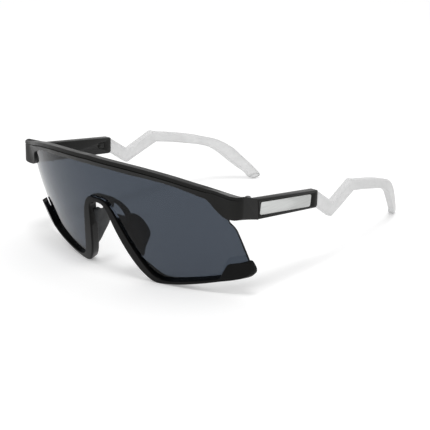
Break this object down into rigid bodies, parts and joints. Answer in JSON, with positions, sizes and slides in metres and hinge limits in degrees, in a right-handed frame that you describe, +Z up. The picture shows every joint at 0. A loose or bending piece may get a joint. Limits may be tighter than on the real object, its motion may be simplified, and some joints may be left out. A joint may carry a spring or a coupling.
{
  "type": "sunglasses",
  "caption": "Wrap-around sport sunglasses with a smoke shield lens, a matt black brow bar and lower rim, and folding temples that end in frosted zigzag ear stems.",
  "frame": {"origin": "centre of the bounding box, on the surface that the open sunglasses stand on", "axes": "+Z up, -Y the way the wearer looks, +X the wearer's left"},
  "size_m": [0.1424, 0.1786, 0.0613],
  "materials": {
    "matt_black": "matt moulded nylon",
    "gloss_black": "satin to gloss moulded nylon",
    "smoke_lens": "polished, smoke grey, see-through",
    "charcoal_rubber": "soft matt",
    "pale_metal": "satin light grey",
    "frosted_clear": "frosted, translucent",
    "steel": "plain"
  },
  "bodies": {
    "front": {"brow_frame": "matt_black", "lens": "smoke_lens", "lower_rim": "gloss_black", "nose_bridge": "matt_black", "nose_pad_left": "charcoal_rubber", "nose_pad_right": "charcoal_rubber", "frame_hinge_left": "steel", "frame_hinge_right": "steel", "hinge_screw_left": "steel", "hinge_screw_right": "steel"},
    "temple_left": {"temple_shell_left": "matt_black", "temple_plate_left": "pale_metal", "ear_stem_left": "frosted_clear", "temple_hinge_left": "steel", "stem_catch_left": "matt_black"},
    "temple_right": {"temple_shell_right": "matt_black", "temple_plate_right": "pale_metal", "ear_stem_right": "frosted_clear", "temple_hinge_right": "steel", "stem_catch_right": "matt_black"}
  },
  "joints": [
    {"name": "temple_left_fold", "type": "hinge", "parent": "front", "child": "temple_left", "pos_m": [0.0642, -0.05199, 0.04285], "axis": [0, 0, 1], "range_deg": [0, 68]},
    {"name": "temple_right_fold", "type": "hinge", "parent": "front", "child": "temple_right", "pos_m": [-0.0642, -0.05199, 0.04285], "axis": [0, 0, -1], "range_deg": [0, 81]}
  ]
}
